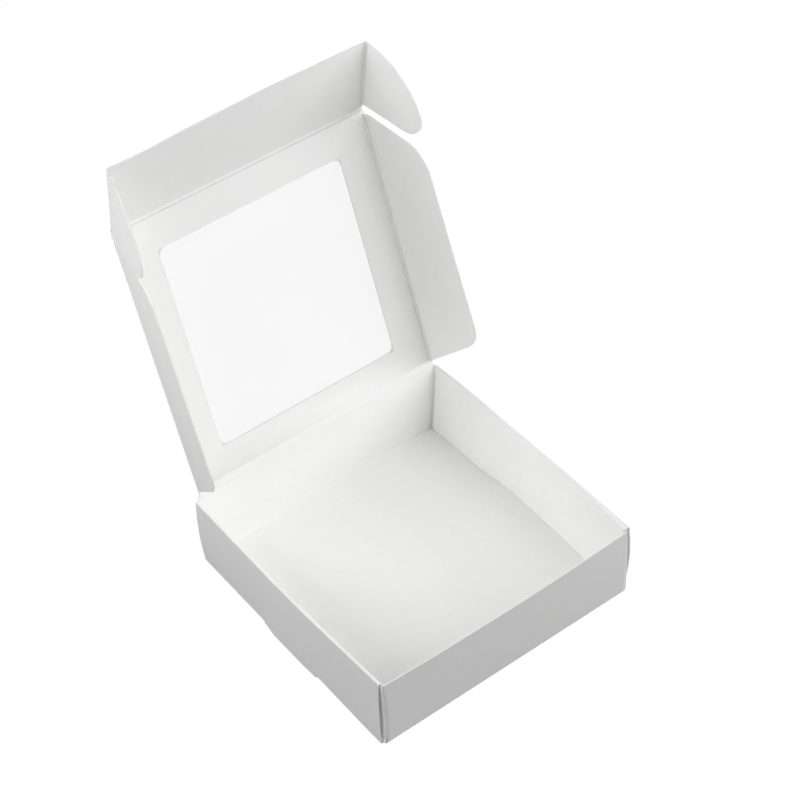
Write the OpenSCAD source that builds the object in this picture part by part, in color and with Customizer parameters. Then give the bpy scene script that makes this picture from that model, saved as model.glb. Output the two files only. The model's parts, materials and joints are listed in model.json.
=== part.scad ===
// Window gift box folded from one sheet of white board, shown with its lid open.
// Millimetres, +Z up. The origin is the middle of the underside of the tray's base.
// The box stands on the lips of its side walls, which reach a little lower.
// The tray's front wall faces -Y, and the lid hinges on the top of the back wall.

/* [Tray] */
// outside width of the tray, left to right
tray_width = 140; // [90:1:260]
// outside depth of the tray, front to back
tray_depth = 140; // [90:1:260]
// height from the underside of the base to the rim
tray_height = 41; // [24:0.5:90]
// outside radius of the bends between base and walls and at the upright corners
bend_radius = 1.0; // [0.8:0.1:2]
// how far the side walls stop short of the tray's front and back faces
side_setback = 1.4; // [1.2:0.1:4]

/* [Board] */
// thickness of the board
board = 0.5; // [0.3:0.05:0.8]
// thickness of the clear film
film_thickness = 0.15; // [0.1:0.01:0.3]
// radius of the raised bead that a crease leaves on the inside of a fold
bead_radius = 0.45; // [0.4:0.01:0.7]
// how far the bead stands proud of the board's outer face
bead_proud = 0.05; // [0.03:0.01:0.1]
// slit left beside a crease so that a flap can turn
crease_gap = 0.15; // [0.1:0.01:0.4]

/* [Rolled side walls] */
// space between the two layers of a side wall
layer_space = 0.6; // [0.5:0.05:2]
// how much shorter the inner layer is at each end than the outer one
inner_setback = 0.4; // [0.2:0.1:6]
// clearance between the inner layer's lower edge and the base
inner_lift = 0.15; // [0.1:0.05:1]
// radius of the inner layer's lower corners
inner_corner = 2.5; // [0.5:0.1:10]

/* [Locks] */
// how far the cut lip of a side wall reaches below the base
lip_drop = 1.5; // [0.8:0.1:4]
// length of the lip and of the slot that it leaves in the base
slot_length = 42; // [20:1:80]
// how much each end of the lip slopes in
lip_slope = 1.2; // [0:0.1:4]
// length of the tab that locks the inner layer into the slot
tab_length = 25; // [10:1:76]
// how far the tab sits towards the front from the middle of the slot
tab_shift = 7.5; // [0:0.5:20]
// how much each end of the tab slopes in
tab_slope = 2.5; // [0:0.1:6]

/* [Corner flaps] */
// length of the flaps folded in from the front and back walls
corner_flap_length = 34; // [8:1:60]
// how much the free end of a corner flap is cut away at top and bottom
corner_flap_taper = 5; // [0:0.5:9]
// clearance between a corner flap and the layers over and under it
corner_flap_lift = 0.3; // [0.1:0.1:2]

/* [Lid] */
// length of the lid from its hinge crease to its front crease
lid_length = 135.6; // [70:0.1:255]
// how far the lid's side creases lie inside the tray's outer faces
lid_inset = 2; // [1.6:0.1:8]
// height of the hinge crease over the rim
hinge_rise = 1.2; // [0.6:0.1:3]
// how far the lid is open in the photographed pose, from shut
lid_open = 110.1; // [60:0.1:150]

/* [Window] */
// width of the window
window_width = 99; // [30:1:200]
// length of the window, along the lid
window_length = 102; // [30:1:200]
// distance from the hinge crease to the window
window_from_hinge = 17; // [8:0.5:60]
// radius of the window's corners
window_corner = 4; // [0.5:0.1:20]
// how far the film reaches past the window all round
film_overlap = 7; // [2:0.5:12]
// space between the film and the board that carries it
film_gap = 0.02; // [0.01:0.01:0.1]

/* [Side flaps of the lid] */
// depth of a side flap at its rear end
side_flap_depth = 37.5; // [15:0.1:80]
// depth of a side flap at its front end
side_flap_front_depth = 33.9; // [12:0.1:80]
// distance from the hinge crease to the rear end of a side flap's crease
side_flap_start = 2; // [1:0.1:20]
// distance from the front crease to the front end of a side flap's crease
side_flap_slit = 2.4; // [1.5:0.1:20]
// how far the rear edge leans forward over the depth of the flap
side_flap_rear_lean = 17; // [2:0.1:40]
// how far the front edge leans back over the depth of the flap
side_flap_front_lean = 17.7; // [2:0.1:60]
// radius of the flap's rear corner
side_flap_rear_corner = 12.5; // [1:0.1:30]
// radius of the flap's front corner
side_flap_front_corner = 20; // [1:0.1:30]
// fold of a side flap out of the lid's plane
side_flap_fold = 79.5; // [0:0.1:89]

/* [Front flap] */
// depth of the tuck flap
front_flap_depth = 41.6; // [14:0.1:80]
// radius of the tuck flap's free corners
front_flap_corner = 0.6; // [0.2:0.1:8]
// fold of the tuck flap out of the lid's plane
front_flap_fold = 29.2; // [0:0.1:89]

/* [Ears] */
// how far an ear's crease lies inside a side flap's crease
ear_inset = 0.3; // [0:0.1:6]
// distance from the front crease to the start of an ear
ear_start = 3.6; // [2:0.1:12]
// lean of an ear's straight edge away from the lid
ear_lean = 8; // [2:0.5:30]
// radius of an ear's tip
ear_tip = 8.5; // [2:0.1:14]
// fold of an ear out of the tuck flap's plane
ear_fold = 80; // [0:0.1:89]

/* [Hidden] */
$fn = 48;

white = [0.95, 0.95, 0.94];
clear = [0.85, 0.9, 0.92, 0.35];

half_width = tray_width / 2;
half_depth = tray_depth / 2;
lip_z = -lip_drop;
hem_radius = board + layer_space / 2;
inner_face = half_width - 2 * hem_radius;
side_half = half_depth - side_setback;
layer_mid = half_width - board - layer_space / 2;
corner_centre = layer_mid + board / 2 - bend_radius;
slot_inner = half_width - board - lip_drop;

hinge_y = half_depth - bead_radius;
hinge_z = tray_height + hinge_rise;
plate_low = bead_proud - bead_radius;
side_crease = half_width - lid_inset - bead_radius;
panel_half = side_crease - bead_radius - crease_gap;
corner_half = side_crease + bead_radius;
side_flap_end = lid_length - side_flap_slit;
ear_crease = side_crease - ear_inset;
ear_radius = front_flap_depth - ear_start;

// Points of a fillet of radius r at corner b, between neighbours a and c
function fillet(a, b, c, r, steps = 8) =
    let (p = (a - b) / norm(a - b), q = (c - b) / norm(c - b))
    let (half = acos(p * q) / 2, m = (p + q) / norm(p + q), o = b + m * r / sin(half))
    let (s = b + p * r / tan(half) - o, e = b + q * r / tan(half) - o)
    let (start = atan2(s.y, s.x), turn = atan2(s.x * e.y - s.y * e.x, s * e))
    [for (i = [0:steps]) o + r * [cos(start + turn * i / steps), sin(start + turn * i / steps)]];

// Outline through the points, each corner rounded by its own radius
module rounded_outline(points, radii) {
    n = len(points);
    polygon([for (i = [0:n - 1])
        each (radii[i] > 0
            ? fillet(points[(i + n - 1) % n], points[i], points[(i + 1) % n], radii[i])
            : [points[i]])]);
}

// A flat sheet on the far side of a crease, whose axis runs through the local origin
module sheet(thickness = board) {
    translate([0, 0, plate_low]) linear_extrude(thickness) children();
}

// The bead of a crease along X or along Y, from one end to the other
module bead_x(from, to) {
    translate([from, 0, 0]) rotate([0, 90, 0]) cylinder(h = to - from, r = bead_radius);
}
module bead_y(from, to) {
    translate([0, to, 0]) rotate([90, 0, 0]) cylinder(h = to - from, r = bead_radius);
}

// A quarter bend from a level sheet up into a wall, in X and Z, its outer corner at the origin
module bend_section() {
    translate([-bend_radius, bend_radius])
        intersection() {
            difference() {
                circle(r = bend_radius);
                circle(r = bend_radius - board);
            }
            translate([0, -bend_radius]) square(bend_radius);
        }
}

// The outer layer and the roll at the top of the right side wall, in X and Z
module outer_layer_section() {
    translate([half_width - board, bend_radius])
        square([board, tray_height - bend_radius - hem_radius]);
    translate([half_width - hem_radius, tray_height - hem_radius])
        difference() {
            circle(r = hem_radius);
            circle(r = hem_radius - board);
            translate([-hem_radius - 1, -2 * hem_radius]) square([2 * hem_radius + 2, 2 * hem_radius]);
        }
}

// Stands a section drawn in X and Z along Y
module along_y(from, to) {
    translate([0, to, 0]) rotate([90, 0, 0]) linear_extrude(to - from) children();
}

// Inner layer of the right side wall, drawn in Y and Z, with its lock tab
module inner_layer_outline() {
    end = side_half - inner_setback;
    low = board + inner_lift;
    high = tray_height - hem_radius;
    tab_from = -tab_shift - tab_length / 2;
    tab_to = -tab_shift + tab_length / 2;
    rounded_outline([[-end, high], [-end, low], [tab_from, low],
                     [tab_from + tab_slope, lip_z + board], [tab_to - tab_slope, lip_z + board],
                     [tab_to, low], [end, low], [end, high]],
                    [0, inner_corner, 0, 0, 0, 0, inner_corner, 0]);
}

// Lip that the slot's cut leaves on the foot of the right side wall, in Y and Z
module lip_outline() {
    polygon([[-slot_length / 2, bend_radius], [-slot_length / 2, 0],
             [-slot_length / 2 + lip_slope, lip_z], [slot_length / 2 - lip_slope, lip_z],
             [slot_length / 2, 0], [slot_length / 2, bend_radius]]);
}

// Stands an outline drawn in Y and Z across X
module across_x(from, to) {
    translate([from, 0, 0]) rotate([90, 0, 90]) linear_extrude(to - from) children();
}

// Right side wall: bend, outer layer, roll, inner layer with its tab, and the lip
module side_wall() {
    difference() {
        along_y(-side_half, side_half) translate([half_width, 0]) bend_section();
        translate([slot_inner, -slot_length / 2, -board])
            cube([lip_drop + 2 * board, slot_length, bend_radius + board]);
    }
    along_y(-side_half, side_half) outer_layer_section();
    across_x(inner_face, inner_face + board) inner_layer_outline();
    across_x(half_width - board, half_width) lip_outline();
}

// Flap folded in from the right end of the front wall, with the upright corner bend
module corner_flap() {
    low = bend_radius + corner_flap_lift;
    high = tray_height - hem_radius - corner_flap_lift;
    start = -half_depth + bend_radius;
    translate([corner_centre + bend_radius, -half_depth, low])
        linear_extrude(tray_height - low) bend_section();
    across_x(layer_mid - board / 2, layer_mid + board / 2)
        polygon([[start, low], [start + corner_flap_length, low + corner_flap_taper],
                 [start + corner_flap_length, high - corner_flap_taper], [start, high]]);
}

// Front wall with the bend at its foot, and a corner flap at each end
module end_wall(top) {
    translate([-corner_centre, -half_depth, bend_radius])
        cube([2 * corner_centre, board, top - bend_radius]);
    translate([-corner_centre, -half_depth, 0])
        rotate([90, 0, 90]) mirror([1, 0, 0]) linear_extrude(2 * corner_centre) bend_section();
    corner_flap();
    mirror([1, 0, 0]) corner_flap();
}

module base() {
    half_x = half_width - bend_radius;
    half_y = half_depth - bend_radius;
    difference() {
        translate([-half_x, -half_y, 0]) cube([2 * half_x, 2 * half_y, board]);
        for (side = [-1, 1])
            translate([side * (slot_inner + half_width) / 2, 0, 0])
                cube([half_width - slot_inner, slot_length, 4 * board], center = true);
    }
}

module tray() color(white) {
    base();
    side_wall();
    mirror([1, 0, 0]) side_wall();
    end_wall(tray_height);
    mirror([0, 1, 0]) end_wall(hinge_z - bead_radius - crease_gap);
}

// Local frames: X to the right, Y away from the crease, Z towards the inside of the box
module lid_frame() {
    translate([0, hinge_y, hinge_z]) rotate([180 - lid_open, 0, 0]) children();
}
module front_flap_frame() {
    lid_frame() translate([0, lid_length, 0]) rotate([front_flap_fold, 0, 0]) children();
}
module side_flap_frame() {
    translate([side_crease, 0, 0]) rotate([0, -side_flap_fold, 0]) children();
}
module ear_frame() {
    translate([ear_crease, 0, 0]) rotate([0, -ear_fold, 0]) children();
}

module window_outline(grow, radius) {
    x = window_width / 2 + grow;
    low = window_from_hinge - grow;
    high = window_from_hinge + window_length + grow;
    rounded_outline([[-x, low], [x, low], [x, high], [-x, high]], [radius, radius, radius, radius]);
}

module lid_panel() color(white) lid_frame() {
    end = lid_length - bead_radius - crease_gap;
    bead_x(-corner_half, corner_half);
    sheet() difference() {
        union() {
            translate([-panel_half, 0]) square([2 * panel_half, end]);
            for (side = [-1, 1])
                translate([side * corner_half / 2 - corner_half / 2, side_flap_end + crease_gap])
                    square([corner_half, end - side_flap_end - crease_gap]);
        }
        window_outline(0, window_corner);
    }
}

module window_film() color(clear) lid_frame()
    translate([0, 0, board + film_gap])
        sheet(film_thickness) window_outline(film_overlap, window_corner);

module front_flap() color(white) front_flap_frame() {
    half = ear_crease - bead_radius - crease_gap;
    shoulder = ear_start - crease_gap;
    bead_x(-corner_half, corner_half);
    sheet() rounded_outline(
        [[-corner_half, 0], [corner_half, 0], [corner_half, shoulder], [half, shoulder],
         [half, front_flap_depth], [-half, front_flap_depth], [-half, shoulder],
         [-corner_half, shoulder]],
        [0, 0, front_flap_corner, 0, front_flap_corner, front_flap_corner, 0, front_flap_corner]);
}

// Quarter-round ear: a straight leaning edge, a rounded tip, and one sweeping curve
module ear_outline() {
    reach = sqrt(ear_radius * ear_radius - 2 * ear_radius * ear_tip);
    tip = reach * [cos(ear_lean), sin(ear_lean)] + ear_tip * [-sin(ear_lean), cos(ear_lean)];
    sweep_from = atan2(tip.y, tip.x);
    translate([0, ear_start])
        polygon(concat(
            [[0, 0]],
            [for (i = [0:10]) let (a = ear_lean - 90 + (sweep_from - ear_lean + 90) * i / 10)
                tip + ear_tip * [cos(a), sin(a)]],
            [for (i = [1:18]) let (a = sweep_from + (90 - sweep_from) * i / 18)
                ear_radius * [cos(a), sin(a)]]));
}

module ear() {
    bead_y(ear_start, front_flap_depth);
    sheet() ear_outline();
}

module ear_right() color(white) front_flap_frame() ear_frame() ear();
module ear_left() color(white) front_flap_frame() mirror([1, 0, 0]) ear_frame() ear();

module side_flap() {
    rear = side_flap_start;
    front = side_flap_end;
    bead_y(rear, front);
    sheet() rounded_outline(
        [[0, rear], [side_flap_depth, rear + side_flap_rear_lean],
         [side_flap_front_depth, front - side_flap_front_lean], [0, front]],
        [0, side_flap_rear_corner, side_flap_front_corner, 0]);
}

module side_flap_right() color(white) lid_frame() side_flap_frame() side_flap();
module side_flap_left() color(white) lid_frame() mirror([1, 0, 0]) side_flap_frame() side_flap();

tray();
lid_panel();
window_film();
front_flap();
ear_left();
ear_right();
side_flap_left();
side_flap_right();
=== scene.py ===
# Looks of the window gift box: board, film, creases, studio light and camera. Metres.
import json
import math

import bmesh
import bpy
import numpy as np
from mathutils import Matrix, Vector


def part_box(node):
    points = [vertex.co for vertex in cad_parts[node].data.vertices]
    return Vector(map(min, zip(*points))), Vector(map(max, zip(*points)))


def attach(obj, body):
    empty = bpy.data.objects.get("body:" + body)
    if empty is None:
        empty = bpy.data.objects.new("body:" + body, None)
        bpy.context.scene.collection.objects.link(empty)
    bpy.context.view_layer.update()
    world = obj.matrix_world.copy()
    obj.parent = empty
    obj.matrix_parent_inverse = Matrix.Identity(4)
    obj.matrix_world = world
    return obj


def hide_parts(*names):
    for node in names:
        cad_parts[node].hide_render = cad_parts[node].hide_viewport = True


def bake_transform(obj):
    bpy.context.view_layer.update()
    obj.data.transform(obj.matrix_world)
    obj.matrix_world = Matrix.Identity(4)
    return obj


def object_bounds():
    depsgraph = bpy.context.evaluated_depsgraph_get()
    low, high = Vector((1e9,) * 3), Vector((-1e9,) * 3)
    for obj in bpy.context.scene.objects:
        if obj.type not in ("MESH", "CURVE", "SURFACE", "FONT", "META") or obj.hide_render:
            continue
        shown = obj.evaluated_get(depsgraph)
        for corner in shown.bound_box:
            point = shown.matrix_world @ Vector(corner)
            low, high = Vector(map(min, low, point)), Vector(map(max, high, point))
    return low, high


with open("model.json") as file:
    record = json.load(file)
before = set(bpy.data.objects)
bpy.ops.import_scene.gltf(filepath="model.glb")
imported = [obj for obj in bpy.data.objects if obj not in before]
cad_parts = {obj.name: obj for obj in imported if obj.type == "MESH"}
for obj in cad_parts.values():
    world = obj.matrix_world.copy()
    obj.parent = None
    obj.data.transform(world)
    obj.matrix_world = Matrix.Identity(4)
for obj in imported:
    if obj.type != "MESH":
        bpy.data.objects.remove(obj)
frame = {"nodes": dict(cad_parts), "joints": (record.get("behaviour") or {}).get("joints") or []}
cad_low, cad_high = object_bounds()
joints = {joint["name"]: joint for joint in frame["joints"]}
MM = 0.001

# Camera: where it stands round the middle of the tray's base, and what it looks at
CAMERA_AZIMUTH = -35.571
CAMERA_ELEVATION = 44.891
CAMERA_ROLL = -2.857
CAMERA_DISTANCE = 1.09066
CAMERA_RIGHT = -0.00587
CAMERA_UP = 0.08103
LENS = 105.30
SENSOR = 36.0

# Box: its half width, creases and directions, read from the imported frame
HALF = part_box("tray")[1].x
HINGE = Vector(joints["lid_hinge"]["pos_m"])
FRONT = Vector(joints["front_flap_fold"]["pos_m"])
EAR_X = joints["ear_right_fold"]["pos_m"][0]
SIDE_X = joints["side_flap_right_fold"]["pos_m"][0]
LID_ALONG = (FRONT - HINGE).normalized()
LID_IN = Vector((0, -LID_ALONG.z, LID_ALONG.y))
FLAP_ALONG = Vector(joints["ear_right_fold"]["axis"]).normalized()
FLAP_IN = Vector((0, -FLAP_ALONG.z, FLAP_ALONG.y))
FLAP_DEPTH = (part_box("front_flap")[1].z - FRONT.z) / FLAP_ALONG.z

# Tray: the rim's height, and the top and inner face of the side walls' inner layer
RIM = 41.0 * MM
ROLL_TOP = 40.2 * MM
INNER_FACE = 68.4 * MM
LAYER_FROM = INNER_FACE - 0.1 * MM


def smooth(value, low, high):
    """0 at low and 1 at high, easing between them; works on arrays."""
    t = np.clip((value - low) / (high - low), 0, 1)
    return t * t * (3 - 2 * t)


# Materials: colours of the coated and the fibre side, and of their darker clouds. The coated outside is
# set darker as painted shade on the box's outer faces, and the fibre inside lighter as painted light
# within it, on top of the board's own two sides.
COATED_PAINTED_SHADE = (0.83, 0.83, 0.826)
COATED_CLOUD_PAINTED_SHADE = (0.81, 0.81, 0.806)
FIBRE_PAINTED_LIGHT = (0.93, 0.93, 0.926)
FIBRE_CLOUD_PAINTED_LIGHT = (0.91, 0.91, 0.905)


def new_material(name):
    material = bpy.data.materials.new(name)
    material.use_nodes = True
    nodes = material.node_tree.nodes
    return material, nodes, material.node_tree.links, nodes["Principled BSDF"]


def noise(nodes, links, coordinates, scale, detail, rough=0.5):
    """A noise texture in the piece's own coordinates, per metre."""
    texture = nodes.new("ShaderNodeTexNoise")
    texture.inputs["Scale"].default_value = scale
    texture.inputs["Detail"].default_value = detail
    texture.inputs["Roughness"].default_value = rough
    links.new(coordinates, texture.inputs["Vector"])
    return texture.outputs["Fac"]


def spread(nodes, links, value, low, high, from_low=0.3, from_high=0.7):
    """Maps a value onto low..high."""
    node = nodes.new("ShaderNodeMapRange")
    for socket, number in zip(("From Min", "From Max", "To Min", "To Max"),
                              (from_low, from_high, low, high)):
        node.inputs[socket].default_value = number
    links.new(value, node.inputs["Value"])
    return node.outputs["Result"]


def mix_colour(nodes, links, factor, first, second):
    node = nodes.new("ShaderNodeMix")
    node.data_type = "RGBA"
    links.new(factor, node.inputs["Factor"])
    for socket, colour in (("A", first), ("B", second)):
        target = [i for i in node.inputs if i.name == socket and i.type == "RGBA"][0]
        if isinstance(colour, tuple):
            target.default_value = (*colour, 1)
        else:
            links.new(colour, target)
    return [o for o in node.outputs if o.type == "RGBA"][0]


def sheet_side(nodes, links, inward):
    """1 on faces that look along inward, in the piece's own space, and 0 on the rest."""
    dot = nodes.new("ShaderNodeVectorMath")
    dot.operation = "DOT_PRODUCT"
    dot.inputs[1].default_value = inward
    links.new(nodes.new("ShaderNodeTexCoord").outputs["Normal"], dot.inputs[0])
    return spread(nodes, links, dot.outputs["Value"], 0, 1, 0.4, 0.8)


def board_material(name, inner=None, coated=False):
    """Bleached folding board: coated outside, open fibres inside; where both sides are drawn, the cut
    edges take the coated side's colour.

    inner is the direction that the uncoated side faces; without it the whole piece is one side. The two
    colours are partly the board's own sides and partly painted light: the outside is darker as painted
    shade, the inside lighter as painted light."""
    material, nodes, links, shader = new_material(name)
    place = nodes.new("ShaderNodeTexCoord").outputs["Object"]
    cloud = noise(nodes, links, place, 240, 4, 0.6)
    grain = noise(nodes, links, place, 2600, 3)
    formation = spread(nodes, links, cloud, 0, 1)
    coated_side_painted_shade = mix_colour(nodes, links, formation, COATED_CLOUD_PAINTED_SHADE, COATED_PAINTED_SHADE)
    fibre_side_painted_light = mix_colour(nodes, links, formation, FIBRE_CLOUD_PAINTED_LIGHT, FIBRE_PAINTED_LIGHT)
    gloss = spread(nodes, links, grain, 0.42, 0.55)
    matte = spread(nodes, links, grain, 0.7, 0.9)
    # Inward faces take the lighter colour, painted light; outward faces and cut edges take the darker
    # one, painted shade.
    if inner:
        side = sheet_side(nodes, links, inner)
        links.new(mix_colour(nodes, links, side, coated_side_painted_shade, fibre_side_painted_light), shader.inputs["Base Color"])
        rough = nodes.new("ShaderNodeMix")
        links.new(side, rough.inputs["Factor"])
        links.new(gloss, rough.inputs["A"])
        links.new(matte, rough.inputs["B"])
        links.new(rough.outputs["Result"], shader.inputs["Roughness"])
    else:
        links.new(coated_side_painted_shade if coated else fibre_side_painted_light, shader.inputs["Base Color"])
        links.new(gloss if coated else matte, shader.inputs["Roughness"])
    shader.inputs["Specular IOR Level"].default_value = 0.35
    soft = nodes.new("ShaderNodeBump")
    soft.inputs["Strength"].default_value = 0.2
    soft.inputs["Distance"].default_value = 0.02 * MM
    links.new(cloud, soft.inputs["Height"])
    tooth = nodes.new("ShaderNodeBump")
    tooth.inputs["Strength"].default_value = 0.2 if coated else 0.3
    tooth.inputs["Distance"].default_value = 0.01 * MM
    links.new(grain, tooth.inputs["Height"])
    links.new(soft.outputs["Normal"], tooth.inputs["Normal"])
    links.new(tooth.outputs["Normal"], shader.inputs["Normal"])
    return material


def film_material(name, alpha):
    """Clear film: nearly all light goes through, and its gloss mirrors the room."""
    material, nodes, links, shader = new_material(name)
    place = nodes.new("ShaderNodeTexCoord").outputs["Object"]
    haze = noise(nodes, links, place, 90, 2)
    links.new(spread(nodes, links, haze, 0.05, 0.12), shader.inputs["Roughness"])
    shader.inputs["Base Color"].default_value = (0.86, 0.87, 0.87, 1)
    shader.inputs["Alpha"].default_value = alpha
    shader.inputs["IOR"].default_value = 1.49
    drawn = nodes.new("ShaderNodeBump")
    drawn.inputs["Strength"].default_value = 0.15
    drawn.inputs["Distance"].default_value = 0.05 * MM
    links.new(haze, drawn.inputs["Height"])
    links.new(drawn.outputs["Normal"], shader.inputs["Normal"])
    return material


# The coated material carries painted shade and the fibre material painted light, besides the board's two
# sides.
coated_board_painted_shade = board_material("coated_board_painted_shade", coated=True)
fibre_board_painted_light = board_material("fibre_board_painted_light")
film_open = film_material("clear_film", 0.16)
film_glued = film_material("glued_film", 0.004)


# Meshes


def welded_copy(node):
    """A new mesh like the CAD node's, its corners joined and flat faces whole."""
    mesh = bmesh.new()
    mesh.from_mesh(frame["nodes"][node].data)
    bmesh.ops.remove_doubles(mesh, verts=mesh.verts, dist=1e-7)
    bmesh.ops.dissolve_limit(mesh, angle_limit=math.radians(0.2), verts=mesh.verts, edges=mesh.edges)
    return mesh


def cut_at(mesh, point, normal):
    """Cuts every face where one plane passes."""
    geometry = mesh.verts[:] + mesh.edges[:] + mesh.faces[:]
    bmesh.ops.bisect_plane(mesh, geom=geometry, dist=1e-7, plane_co=point, plane_no=normal)


def cut_into_grid(mesh, direction, step):
    """Cuts every face where planes across a direction pass, step apart."""
    direction = Vector(direction)
    places = [v.co.dot(direction) for v in mesh.verts]
    low, high = min(places), max(places)
    count = int((high - low) / step)
    for i in range(1, count + 1):
        cut_at(mesh, direction * (low + (high - low) * i / (count + 1)), direction)


def along(table, places):
    """The distance, in metres, that a table of (place, distance) in millimetres gives at each place."""
    numbers = np.array(table) * MM
    return np.interp(places, numbers[:, 0], numbers[:, 1])


def finished_piece(name, mesh, materials, smooth_angle=35):
    """Links a bmesh as a piece, smooth across shallow angles."""
    data = bpy.data.meshes.new(name)
    bmesh.ops.triangulate(mesh, faces=[f for f in mesh.faces if len(f.verts) > 4])
    mesh.to_mesh(data)
    mesh.free()
    for material in materials:
        data.materials.append(material)
    data.shade_smooth()
    data.set_sharp_from_angle(angle=math.radians(smooth_angle))
    piece = bpy.data.objects.new(name, data)
    bpy.context.scene.collection.objects.link(piece)
    return piece


# Tray: how far the standing walls of the real box bow and lean, as (place, distance) in millimetres

LEFT_RIM = [(-70, 0.0), (-66, 0.1), (-42, 0.9), (-18, 1.7), (8, 1.9), (34, 1.6), (61, 1.2), (70, 1.0)]
RIGHT_RIM = [(-70, 2.0), (-45, 2.0), (-20, 2.0), (0, 1.6), (20, 1.3), (38, 1.4), (55, 1.0), (70, 0.1)]
FRONT_RIM = [(-70, 0.7), (-65, 0.8), (-41, 1.7), (-15, 1.9), (11, 2.0), (37, 1.5), (65, 0.4), (70, 0.2)]
INNER_FOOT = [(-68, 1.2), (-45, 1.4), (-33, 0.9), (-20, 0.3), (0, 0.3), (5, 0.1), (12, 0.0),
              (20, 0.6), (31, 2.5), (56, 2.8), (68, 3.3)]
LEFT_BELLY = [(-70, 0.5), (-50, 0.1), (30, 0.2), (70, 1.0)]
RIGHT_BELLY = [(-70, 1.9), (-40, 0.6), (-10, 0.0), (70, 0.0)]
LEFT_FOOT = [(-70, 0.5), (-60, 0.7), (-20, 0.5), (-13, 0.9), (14, 1.0), (17, 0.1), (70, 0.0)]
CORNER_OUT = [(0, 1.2), (8, 1.25), (30, 0.9), (41, 0.2)]
CORNER_IN = 0.95 * MM
PINCH = 0.35 * MM
SHORT_PULL = 0.6 * MM
BOW_POWER = 0.85
LEAN_POWER = 1.1

# Tray: where its layers lie, from the middle outwards, and how high they stand
INNER_TO = 68.91 * MM
CORNER_FLAP_FROM = 68.92 * MM
CORNER_FLAP_TO = 69.48 * MM
CORNER_FLAP_LOW = 1.2 * MM
CORNER_FLAP_HIGH = 40.1 * MM
OUTER_FROM = 69.49 * MM
SKIN_TO = 69.6 * MM
COAT_AND_SHADE_FROM = 69.9 * MM
WALL_FROM = 68.9 * MM
SIDE_WALL_END = 68.65 * MM
FOOT_END = 68.45 * MM
FOOT_TOP = 1.05 * MM
FOOT_ROUND = 0.55 * MM
TOE_LOW = 1.2 * MM
TOE_HIGH = 1.5 * MM
TOE_SET = 0.2 * MM

# Tray: lengths over which a movement fades, along X for the bow, Y for the layers and Z for the foot
BOW_FADE = (56 * MM, 68 * MM)
LAYERS_PART = (-70 * MM, -30 * MM)
CORNER_FLAP_PART = (-69 * MM, -36 * MM)
FOOT_FADE = (0, 20 * MM)
CRUSHED_TO = -66 * MM
SHORT_TO = -68.5 * MM

# Tray: the bends at the foot, with a superellipse's power for their edge
BEND = 1.0 * MM
BEND_SKIN = 0.8 * BEND
CRISP = 8


def tray_layers(x, y, z):
    """Which vertices are in a wall's layers, the corner flaps, the outer and inner side and a corner."""
    wide = np.abs(x)
    layer = wide > LAYER_FROM
    flap = layer & (wide > CORNER_FLAP_FROM) & (wide < CORNER_FLAP_TO)
    flap &= (z < CORNER_FLAP_HIGH) & (z > CORNER_FLAP_LOW)
    outer = (wide > OUTER_FROM) & (np.abs(y) < SIDE_WALL_END)
    inner = layer & (wide < INNER_TO) & (z < ROLL_TOP)
    corner = layer & (np.abs(y) > WALL_FROM)
    return layer, flap, outer, inner, corner


def rim_bow(x, y, layer, flap):
    """How far the side walls' rim bows out. On the right only the outer layer bows near the front."""
    rim = np.where(x < 0, along(LEFT_RIM, y), along(RIGHT_RIM, y))
    outward = np.clip((np.abs(x) - INNER_FACE) / (HALF - INNER_FACE), 0, 1)
    together = smooth(y, *LAYERS_PART)
    shared = np.where((x > 0) & layer, together + (1 - together) * outward, 1)
    return rim, np.where(flap, smooth(y, *CORNER_FLAP_PART), shared)


def bow_sideways(x, y, z):
    """Each vertex's move along X: the side walls bow, their inner layers lean, and corners swell."""
    layer, flap, outer, inner, corner = tray_layers(x, y, z)
    side, wide = np.sign(x), np.abs(x)
    up = np.clip(z / RIM, 0, 1) ** BOW_POWER
    rim, shared = rim_bow(x, y, layer, flap)
    move = side * smooth(wide, *BOW_FADE) * rim * up * np.where(corner, 0, shared)
    belly = np.where(x < 0, along(LEFT_BELLY, y), along(RIGHT_BELLY, y))
    bulge = np.sin(np.pi * np.clip(z / RIM, 0, 1))
    move += np.where(outer, side * belly * bulge, 0)
    out_here = np.where(x > 0, along(CORNER_OUT, z), CORNER_IN * bulge)
    move += np.where(corner & (y < 0), out_here, 0)
    foot_end = (np.abs(wide - FOOT_END) < 0.1 * MM) & (z < FOOT_TOP) & (np.abs(y) > WALL_FROM)
    move += np.where(foot_end, side * (HALF - FOOT_END - FOOT_ROUND), 0)
    crushed = outer & (x > 0) & (wide < SKIN_TO) & (y < CRUSHED_TO)
    move += np.where(crushed, PINCH, 0)
    left_foot = (x < 0) & (wide > WALL_FROM) & (np.abs(y) < SIDE_WALL_END)
    move -= np.where(left_foot, along(LEFT_FOOT, y) * (1 - smooth(z, *FOOT_FADE)), 0)
    lean = along(INNER_FOOT, y) * np.clip(1 - z / ROLL_TOP, 0, 1) ** LEAN_POWER
    return move - np.where(inner, side * lean, 0)


def bow_forwards(x, y, z):
    """Each vertex's move along Y: the front wall bows, and the left wall stops short of its bend."""
    _, flap, outer, _, _ = tray_layers(x, y, z)
    up = np.clip(z / RIM, 0, 1) ** BOW_POWER
    bulge = np.sin(np.pi * np.clip(z / RIM, 0, 1))
    in_front = (y < -WALL_FROM) | (flap & (y < 0))
    move = np.where(in_front, -along(FRONT_RIM, x) * up, 0)
    short = outer & (x < 0) & (y < SHORT_TO)
    return np.where(short, SHORT_PULL * bulge, move)


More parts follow.
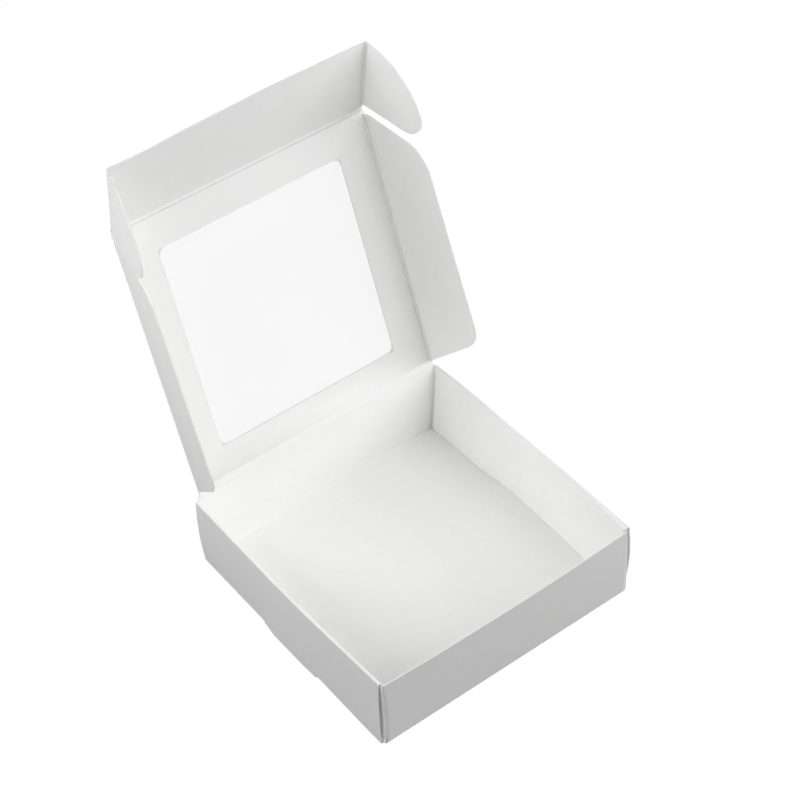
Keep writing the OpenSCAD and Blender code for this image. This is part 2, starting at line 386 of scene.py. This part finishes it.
def bow_tray(mesh):
    """Moves the standing walls as the board's spring does, leaving the base and hinge in place."""
    x, y, z = np.array([v.co for v in mesh.verts]).T
    corner = tray_layers(x, y, z)[-1]
    toe = corner & (np.abs(x) > FOOT_END + 0.1 * MM) & (z > TOE_LOW) & (z < TOE_HIGH)
    for vert, dx, dy, low in zip(mesh.verts, bow_sideways(x, y, z), bow_forwards(x, y, z), toe):
        vert.co.x += dx
        vert.co.y += dy
        if low:
            vert.co.z = TOE_SET


def sharpen_feet(mesh):
    """Draws the bends at the foot of the walls out to the crisp edge that a die crease gives."""
    for vert in mesh.verts:
        down = BEND - vert.co.z
        for axis in (0, 1):
            out = abs(vert.co[axis]) - (HALF - BEND)
            round_out = math.hypot(out, down)
            if 0 < out <= BEND and 0 < down <= BEND and round_out > BEND_SKIN:
                draw = round_out / (out ** CRISP + down ** CRISP) ** (1 / CRISP)
                vert.co[axis] = math.copysign(HALF - BEND + out * draw, vert.co[axis])
                vert.co.z = BEND - down * draw
                break


def coat_and_shade_tray(mesh):
    """Gives the outer faces and the base's underside the darker coated colour, painted shade, and every
    other face, the rolled-in inner layer's coated face too, the lighter fibre colour, painted light.
    """
    for face in mesh.faces:
        centre = face.calc_center_median()
        outside = centre.z < 0.1 * MM or abs(centre.y) > COAT_AND_SHADE_FROM or abs(centre.x) > COAT_AND_SHADE_FROM
        face.material_index = 1 if outside else 0


def build_tray():
    mesh = welded_copy("tray")
    coat_and_shade_tray(mesh)
    cut_into_grid(mesh, (1, 0, 0), 5 * MM)
    cut_into_grid(mesh, (0, 1, 0), 4 * MM)
    cut_into_grid(mesh, (0, 0, 1), 3 * MM)
    sharpen_feet(mesh)
    bow_tray(mesh)
    piece = finished_piece("tray_board", mesh, [fibre_board_painted_light, coated_board_painted_shade])
    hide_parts("tray")
    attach(piece, "tray")


build_tray()

# Film: it lies flat where it is glued to the lid, and ripples a little in the window

FILM_RIPPLE = 0.12 * MM
GLUED = 7 * MM
GRID = 3 * MM


def film_mesh(glued):
    """The glued border of the film, or the part inside it that shows in the window."""
    mesh = welded_copy("window_film")
    cut_into_grid(mesh, (1, 0, 0), GRID)
    cut_into_grid(mesh, LID_ALONG, GRID)
    places = [((v.co - HINGE).dot(LID_ALONG), v.co.x) for v in mesh.verts]
    low, high = min(places)[0] + GLUED, max(places)[0] - GLUED
    half = max(x for _, x in places) - GLUED
    for point, normal in ((HINGE + LID_ALONG * low, LID_ALONG), (HINGE + LID_ALONG * high, LID_ALONG),
                          (Vector((-half, 0, 0)), (1, 0, 0)), (Vector((half, 0, 0)), (1, 0, 0))):
        cut_at(mesh, point, normal)
    outside = []
    for face in mesh.faces:
        centre = face.calc_center_median()
        down_lid = (centre - HINGE).dot(LID_ALONG)
        border = abs(centre.x) > half or not low < down_lid < high
        if border != glued:
            outside.append(face)
    bmesh.ops.delete(mesh, geom=outside, context="FACES")
    for vert in mesh.verts:
        across = (vert.co.x + half) / (2 * half)
        down = ((vert.co - HINGE).dot(LID_ALONG) - low) / (high - low)
        free = min(across, 1 - across, down, 1 - down)
        wave = math.sin(7.3 * across + 2.1 * down) + 0.6 * math.sin(11 * down - 3.7 * across)
        vert.co += LID_IN * (FILM_RIPPLE * wave * float(smooth(free, 0, 0.12)))
    return mesh


def build_film():
    for name, material, glued in (("film_sheet", film_open, False), ("film_border", film_glued, True)):
        piece = finished_piece(name, film_mesh(glued), [material])
        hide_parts("window_film")
        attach(piece, "lid")


build_film()

# Lid and tuck flap: the hinge bead is pressed flat inside, and the flap's free edge bows out.
# The table gives how far that edge bows, as (place, distance) in millimetres.

HINGE_BEAD_LEFT = 0.3
BEAD_ROUND = 0.5 * MM
BEAD_END = 67.5 * MM
EDGE_FROM = 0.95 * MM
EDGE_TO = 0.6 * MM
EDGE_DEEP = 0.3 * MM
FLAP_EDGE = [(-67, -0.5), (-57, -0.8), (-48, -0.9), (-32, -0.1), (-16, 0.3), (0, 0.7), (17, 1.1),
             (33, 0.8), (50, 0.6), (67, 0.3)]
FLAP_SPREAD = 1.25 * MM
PRESSED = (Vector((0, -1, 0)) + LID_IN).normalized()


def press_edges(mesh, crease, origin, inward):
    """Presses the inside of a panel down along its two side edges, next to the flaps' creases."""
    for side in (-1, 1):
        cut_at(mesh, Vector((side * (crease - EDGE_FROM), 0, 0)), (1, 0, 0))
    for vert in mesh.verts:
        at_edge = abs(abs(vert.co.x) - (crease - EDGE_TO)) < 0.02 * MM
        if at_edge and (vert.co - origin).dot(inward) > 0:
            vert.co -= inward * EDGE_DEEP


def build_lid():
    mesh = welded_copy("lid_panel")
    press_edges(mesh, SIDE_X, HINGE, LID_IN)
    for vert in mesh.verts:
        radius = vert.co - HINGE
        radius.x = 0
        proud = radius.dot(PRESSED)
        if radius.length < BEAD_ROUND and proud > 0:
            vert.co -= PRESSED * (proud * (1 - HINGE_BEAD_LEFT))
    piece = finished_piece("lid_board", mesh, [board_material("lid_sheet", LID_IN)])
    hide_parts("lid_panel")
    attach(piece, "lid")


def flap_shift(x, rise):
    """How the tuck flap bends, and its left end spreads, at a share of the way to its free edge."""
    outward = float(along(FLAP_EDGE, x))
    spread_out = FLAP_SPREAD * min(max(-x / EAR_X, 0), 1)
    return rise * (Vector((-spread_out, 0, 0)) - FLAP_IN * outward)


def build_front_flap():
    mesh = welded_copy("front_flap")
    cut_into_grid(mesh, (1, 0, 0), GRID)
    cut_into_grid(mesh, FLAP_ALONG, GRID)
    press_edges(mesh, EAR_X, FRONT, FLAP_IN)
    for vert in mesh.verts:
        if abs(vert.co.x) > BEAD_END and abs((vert.co - FRONT).dot(FLAP_ALONG)) < BEAD_ROUND:
            vert.co.x = math.copysign(BEAD_END, vert.co.x)
    for vert in mesh.verts:
        rise = max((vert.co - FRONT).dot(FLAP_ALONG) / FLAP_DEPTH, 0)
        vert.co += flap_shift(vert.co.x, rise)
    piece = finished_piece("front_flap_board", mesh, [board_material("front_flap_sheet", FLAP_IN)])
    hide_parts("front_flap")
    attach(piece, "front_flap")


build_lid()
build_front_flap()

# Side flaps and ears: a groove is pressed beside each bead, and the slits' edges follow the photograph.
# The tables give how far an edge reaches towards its slit, as (place across, distance) in millimetres.

RIDGE = 0.62 * MM
GROOVE = [0.62 * MM, 0.82 * MM, 1.1 * MM]  # where it starts, is deepest and ends
GROOVE_DEEP = 0.38 * MM
RIDGE_TURN = 120  # degrees round the bead
FLAP_GRID = 2.5 * MM
EAR_EDGE = [(0, 0), (0.9, 0), (2.5, 0.2), (25, 2.3), (28, 2.2), (34, 1.0), (38, 0.8)]
SIDE_EDGE = [(0, 0), (0.9, 0), (2.5, 1.4), (24, 1.4), (30, 2.0), (34, 2.4)]
EAR_GROWS = 0.012
EAR_FADE = (8 * MM, 30 * MM)
SIDE_FADE_FROM = 48 * MM
SIDE_FADE_TO = 15 * MM
LEFT_EAR_EDGE = [(0, 0), (0.9, 0), (2.5, 2.6), (40, 2.6)]
LEFT_EAR_TURN = math.radians(4.5)
LEFT_EAR_CURL = 2.0 * MM
LID_INSIDE = (HINGE + FRONT) / 2 + LID_IN * (20 * MM)


def inward_normal(node, point):
    """The direction of the node's largest flat side, on the side that looks towards a point."""
    mesh = frame["nodes"][node].data
    face = max(mesh.polygons, key=lambda f: f.area)
    normal = face.normal.copy()
    return normal if normal.dot(Vector(point) - face.center) > 0 else -normal


def open_flap(node, origin, lengthwise):
    """A flap's mesh cut into a grid, its groove pressed, and its directions across and inward."""
    mesh = welded_copy(node)
    inward = inward_normal(node, LID_INSIDE)
    across = lengthwise.cross(inward)
    if across.dot(LID_IN) < 0:
        across = -across
    cut_into_grid(mesh, across, FLAP_GRID)
    cut_into_grid(mesh, lengthwise, FLAP_GRID)
    for place in GROOVE:
        cut_at(mesh, origin + across * place, across)
    for vert in mesh.verts:
        radius = vert.co - origin
        out, rise = radius.dot(across), radius.dot(inward)
        round_out = math.hypot(out, rise)
        if round_out < BEAD_ROUND and 0 < math.degrees(math.atan2(rise, out)) < RIDGE_TURN:
            vert.co += (across * out + inward * rise) * (RIDGE / round_out - 1)
        elif abs(out - GROOVE[1]) < 0.02 * MM and rise > 0:
            vert.co -= inward * GROOVE_DEEP
    return mesh, across, inward


def build_flap(node, mesh, inward):
    """Turns a flap's mesh into the board that stands in for its node."""
    piece = finished_piece(node + "_board", mesh, [board_material(node + "_sheet", inward)])
    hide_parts(node)
    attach(piece, node)


def build_side_flap(side, name):
    """A side flap of the lid, its front end reaching towards the slit."""
    origin = HINGE + Vector((side * SIDE_X, 0, 0))
    mesh, across, inward = open_flap(name, origin, LID_ALONG)
    end = max((v.co - origin).dot(LID_ALONG) for v in mesh.verts)
    for vert in mesh.verts:
        place = (vert.co - origin).dot(across)
        down = (vert.co - origin).dot(LID_ALONG)
        near = float(smooth(down, end - SIDE_FADE_FROM, end - SIDE_FADE_TO))
        vert.co += LID_ALONG * (float(along(SIDE_EDGE, place)) * near)
    build_flap(name, mesh, inward)


def build_ear(side, name):
    """An ear of the tuck flap, which bends with the flap. The left one also turns and curls."""
    origin = FRONT + Vector((side * EAR_X, 0, 0))
    mesh, across, inward = open_flap(name, origin, FLAP_ALONG)
    reach = max((v.co - origin).dot(across) for v in mesh.verts)
    for vert in mesh.verts:
        place = max((vert.co - origin).dot(across), 0)
        rise = (vert.co - origin).dot(FLAP_ALONG)
        low = 1 - float(smooth(rise, *EAR_FADE))
        vert.co -= FLAP_ALONG * (float(along(EAR_EDGE, place)) * low)
        vert.co += across * (place * EAR_GROWS)
        vert.co += flap_shift(side * EAR_X, max(rise / FLAP_DEPTH, 0))
        if side < 0:
            vert.co -= FLAP_ALONG * (float(along(LEFT_EAR_EDGE, place)) * low)
            curl = LEFT_EAR_CURL * (place / reach) ** 2
            vert.co += inward * (curl - place * math.tan(LEFT_EAR_TURN))
    build_flap(name, mesh, inward)


for side, name in ((-1, "left"), (1, "right")):
    build_side_flap(side, "side_flap_" + name)
    build_ear(side, "ear_" + name)

# Creases: the pressed board that joins a panel to the bead of its neighbour

CREASE_WIDTH = 0.5 * MM
CREASE_THICK = 0.44 * MM
CREASE_OVER_BEAD = 0.12 * MM
SHEET_MIDDLE = -0.15 * MM
BEAD = 0.45 * MM
ENDS = 0.4 * MM
SIDE_CREASE_FROM = 2.2 * MM
SIDE_CREASE_STOPS = 2.6 * MM
EAR_CREASE_FROM = 3.8 * MM


def build_crease(name, body, start, end, inward, normal):
    """A shallow groove along a crease. inward points into the panel that the strip rides with."""
    start, end, inward, normal = (Vector(v) for v in (start, end, inward, normal))
    mesh = bmesh.new()
    near = BEAD - CREASE_OVER_BEAD
    # The section's corners, as (distance from the crease, height as a share of the thickness)
    section = [(near, -0.15), (near + CREASE_WIDTH, -0.1), (near + CREASE_WIDTH, -0.5), (near, -0.4)]
    rings = []
    for place in (start, end):
        centre = place + normal * SHEET_MIDDLE
        rings.append([mesh.verts.new(centre + inward * a + normal * (b * CREASE_THICK))
                      for a, b in section])
    for k in range(len(section)):
        n = (k + 1) % len(section)
        mesh.faces.new((rings[0][k], rings[1][k], rings[1][n], rings[0][n]))
    mesh.faces.new(rings[0])
    mesh.faces.new(list(reversed(rings[1])))
    bmesh.ops.recalc_face_normals(mesh, faces=mesh.faces)
    piece = finished_piece(name, mesh, [fibre_board_painted_light])
    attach(piece, body)


def build_creases():
    half = SIDE_X + BEAD - ENDS
    build_crease("crease_front", "lid", FRONT - Vector((half, 0, 0)), FRONT + Vector((half, 0, 0)),
                 -LID_ALONG, LID_IN)
    reach = (FRONT - HINGE).length
    flap_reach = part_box("ear_right")[1].z
    for side, name in ((-1, "left"), (1, "right")):
        out = Vector((side, 0, 0))
        build_crease("crease_side_" + name, "lid", HINGE + out * SIDE_X + LID_ALONG * SIDE_CREASE_FROM,
                     HINGE + out * SIDE_X + LID_ALONG * (reach - SIDE_CREASE_STOPS), -out, LID_IN)
        start = FRONT + out * EAR_X + FLAP_ALONG * EAR_CREASE_FROM
        stop = start + FLAP_ALONG * ((flap_reach - start.z) / FLAP_ALONG.z - ENDS)
        start += flap_shift(start.x, EAR_CREASE_FROM / FLAP_DEPTH)
        stop += flap_shift(stop.x, 1)
        build_crease("crease_ear_" + name, "front_flap", start, stop, -out, FLAP_IN)


build_creases()

# Hinge: the board bends over the bead from the back wall to the lid

FOLD_REACH = 3.0 * MM
FOLD_PROUD = 0.02 * MM
FOLD_SWELL = 0.14 * MM
FOLD_STEPS = 16
FOLD_SHORT = 0.1 * MM
BOARD = 0.5 * MM
BEAD_PRESSED = 0.08 * MM
LID_INSIDE_FACE = 0.1 * MM
LID_OUTSIDE_FACE = 0.4 * MM


def build_hinge_fold():
    """A thin skin over the hinge crease, inside and outside, that bends as the lid turns."""
    wall_in = Vector((0, -1, 0))
    up = Vector((0, 0, 1))
    wall_face = HINGE.y - (HALF - BOARD)
    inner, outer = [], []
    for i in range(-FOLD_STEPS, FOLD_STEPS + 1):
        t = i / FOLD_STEPS
        run = FOLD_REACH * abs(t)
        swell = FOLD_SWELL * (1 - smooth(abs(t), 0, 0.8))
        if t < 0:
            inner.append(HINGE - up * run + wall_in * (wall_face + FOLD_PROUD + swell))
            outer.append(HINGE - up * run - wall_in * (BEAD + FOLD_PROUD))
        elif t > 0:
            inner.append(HINGE + LID_ALONG * run + LID_IN * (LID_INSIDE_FACE + FOLD_PROUD + swell))
            outer.append(HINGE + LID_ALONG * run - LID_IN * (LID_OUTSIDE_FACE + FOLD_PROUD))
        else:
            inner.append(HINGE + PRESSED * (BEAD_PRESSED + FOLD_PROUD + swell))
            outer.append(HINGE - PRESSED * (BEAD + FOLD_PROUD))
    loop = inner + list(reversed(outer))
    mesh = bmesh.new()
    half = SIDE_X + BEAD - FOLD_SHORT
    rings = [[mesh.verts.new(point + Vector((x, 0, 0))) for point in loop] for x in (-half, half)]
    for k in range(len(loop)):
        n = (k + 1) % len(loop)
        mesh.faces.new((rings[0][k], rings[0][n], rings[1][n], rings[1][k]))
    mesh.faces.new(rings[0])
    mesh.faces.new(list(reversed(rings[1])))
    bmesh.ops.recalc_face_normals(mesh, faces=mesh.faces)
    piece = finished_piece("hinge_fold", mesh, [fibre_board_painted_light], 50)
    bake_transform(piece)


build_hinge_fold()

# Studio: lamps as (name, azimuth, elevation, distance, size, watts), in degrees and metres

WORLD = 0.27
LAMPS = [("left", -90, 30, 1.4, 1.0, 2.5), ("left_near", -105, 35, 0.45, 0.2, 0.62),
         ("left_low", -90, 20, 0.45, 0.15, 0.19), ("front_left", -20, 15, 1.4, 0.8, 1.65),
         ("front_low", 10, 12, 1.4, 0.8, 1.36), ("front_right", 30, 30, 1.4, 0.8, 3.44),
         ("right_low", 60, 20, 1.4, 0.6, 4.93), ("right_near", 45, 55, 0.75, 0.5, 1.62)]
LAMPS_LOOK_AT = Vector((0, 0.02, 0.06))
FLOOR_GREY = 0.06
FLOOR_SHOWN = 0.1
FLOOR_GLOW = 0.95
FLOOR_REACH = 3.0


def seen_in_picture(nodes, links):
    """1 for what the camera sees straight, mirrored or through film, and 0 for light on the box."""
    path = nodes.new("ShaderNodeLightPath")
    seen = nodes.new("ShaderNodeMath")
    seen.operation = "MAXIMUM"
    links.new(path.outputs["Is Camera Ray"], seen.inputs[0])
    links.new(path.outputs["Is Glossy Ray"], seen.inputs[1])
    either = nodes.new("ShaderNodeMath")
    either.operation = "MAXIMUM"
    links.new(seen.outputs[0], either.inputs[0])
    links.new(path.outputs["Is Transmission Ray"], either.inputs[1])
    return either.outputs[0]


def towards(azimuth, elevation):
    """The direction from the box to a place round it. Azimuth 0 is in front, and 90 on the right."""
    a, e = math.radians(azimuth), math.radians(elevation)
    return Vector((math.sin(a) * math.cos(e), -math.cos(a) * math.cos(e), math.sin(e)))


def world_light(strength):
    """White where the picture shows it, and a dim even light on the box."""
    world = bpy.data.worlds.new("studio")
    bpy.context.scene.world = world
    world.use_nodes = True
    nodes, links = world.node_tree.nodes, world.node_tree.links
    nodes.clear()
    seen = seen_in_picture(nodes, links)
    room = nodes.new("ShaderNodeBackground")
    room.inputs["Strength"].default_value = strength
    white = nodes.new("ShaderNodeBackground")
    white.inputs["Strength"].default_value = 1.0
    mix = nodes.new("ShaderNodeMixShader")
    links.new(seen, mix.inputs["Fac"])
    links.new(room.outputs[0], mix.inputs[1])
    links.new(white.outputs[0], mix.inputs[2])
    out = nodes.new("ShaderNodeOutputWorld")
    links.new(mix.outputs[0], out.inputs["Surface"])


def floor_material():
    """A pale floor that reads as white to the camera and still takes a faint shadow."""
    material = bpy.data.materials.new("floor")
    material.use_nodes = True
    nodes, links = material.node_tree.nodes, material.node_tree.links
    nodes.clear()
    seen = seen_in_picture(nodes, links)
    bounce = nodes.new("ShaderNodeBsdfDiffuse")
    bounce.inputs["Color"].default_value = (FLOOR_GREY, FLOOR_GREY, FLOOR_GREY, 1)
    shadow = nodes.new("ShaderNodeBsdfDiffuse")
    shadow.inputs["Color"].default_value = (FLOOR_SHOWN, FLOOR_SHOWN, FLOOR_SHOWN, 1)
    glow = nodes.new("ShaderNodeEmission")
    glow.inputs["Strength"].default_value = FLOOR_GLOW
    shown = nodes.new("ShaderNodeAddShader")
    links.new(shadow.outputs[0], shown.inputs[0])
    links.new(glow.outputs[0], shown.inputs[1])
    mix = nodes.new("ShaderNodeMixShader")
    links.new(seen, mix.inputs["Fac"])
    links.new(bounce.outputs[0], mix.inputs[1])
    links.new(shown.outputs[0], mix.inputs[2])
    out = nodes.new("ShaderNodeOutputMaterial")
    links.new(mix.outputs[0], out.inputs["Surface"])
    return material


def build_floor():
    data = bpy.data.meshes.new("floor")
    corners = [(-FLOOR_REACH, -FLOOR_REACH, 0), (FLOOR_REACH, -FLOOR_REACH, 0),
               (FLOOR_REACH, FLOOR_REACH, 0), (-FLOOR_REACH, FLOOR_REACH, 0)]
    data.from_pydata(corners, [], [(0, 1, 2, 3)])
    data.materials.append(floor_material())
    piece = bpy.data.objects.new("floor", data)
    bpy.context.scene.collection.objects.link(piece)
    piece.location.z = cad_low.z


def area_lamp(name, azimuth, elevation, distance, size, power):
    """A square softbox that looks at the box."""
    lamp = bpy.data.lights.new(name, "AREA")
    lamp.size = size
    lamp.energy = power
    piece = bpy.data.objects.new(name, lamp)
    bpy.context.scene.collection.objects.link(piece)
    back = towards(azimuth, elevation)
    piece.location = LAMPS_LOOK_AT + back * distance
    piece.rotation_euler = back.to_track_quat("Z", "Y").to_euler()


def build_camera():
    azimuth, turn = math.radians(CAMERA_AZIMUTH), math.radians(CAMERA_ROLL)
    back = towards(CAMERA_AZIMUTH, CAMERA_ELEVATION)
    level = Vector((math.cos(azimuth), math.sin(azimuth), 0))
    upright = back.cross(level)
    right = level * math.cos(turn) + upright * math.sin(turn)
    up = upright * math.cos(turn) - level * math.sin(turn)
    data = bpy.data.cameras.new("camera")
    data.lens = LENS
    data.sensor_width = SENSOR
    data.clip_start = 0.05
    data.clip_end = 20
    camera = bpy.data.objects.new("camera", data)
    bpy.context.scene.collection.objects.link(camera)
    place = back * CAMERA_DISTANCE + right * CAMERA_RIGHT + up * CAMERA_UP
    camera.matrix_world = Matrix.Translation(place) @ Matrix((right, up, back)).transposed().to_4x4()
    bpy.context.scene.camera = camera


world_light(WORLD)
build_floor()
for lamp in LAMPS:
    area_lamp(*lamp)
build_camera()
bpy.context.scene.view_settings.view_transform = "Standard"
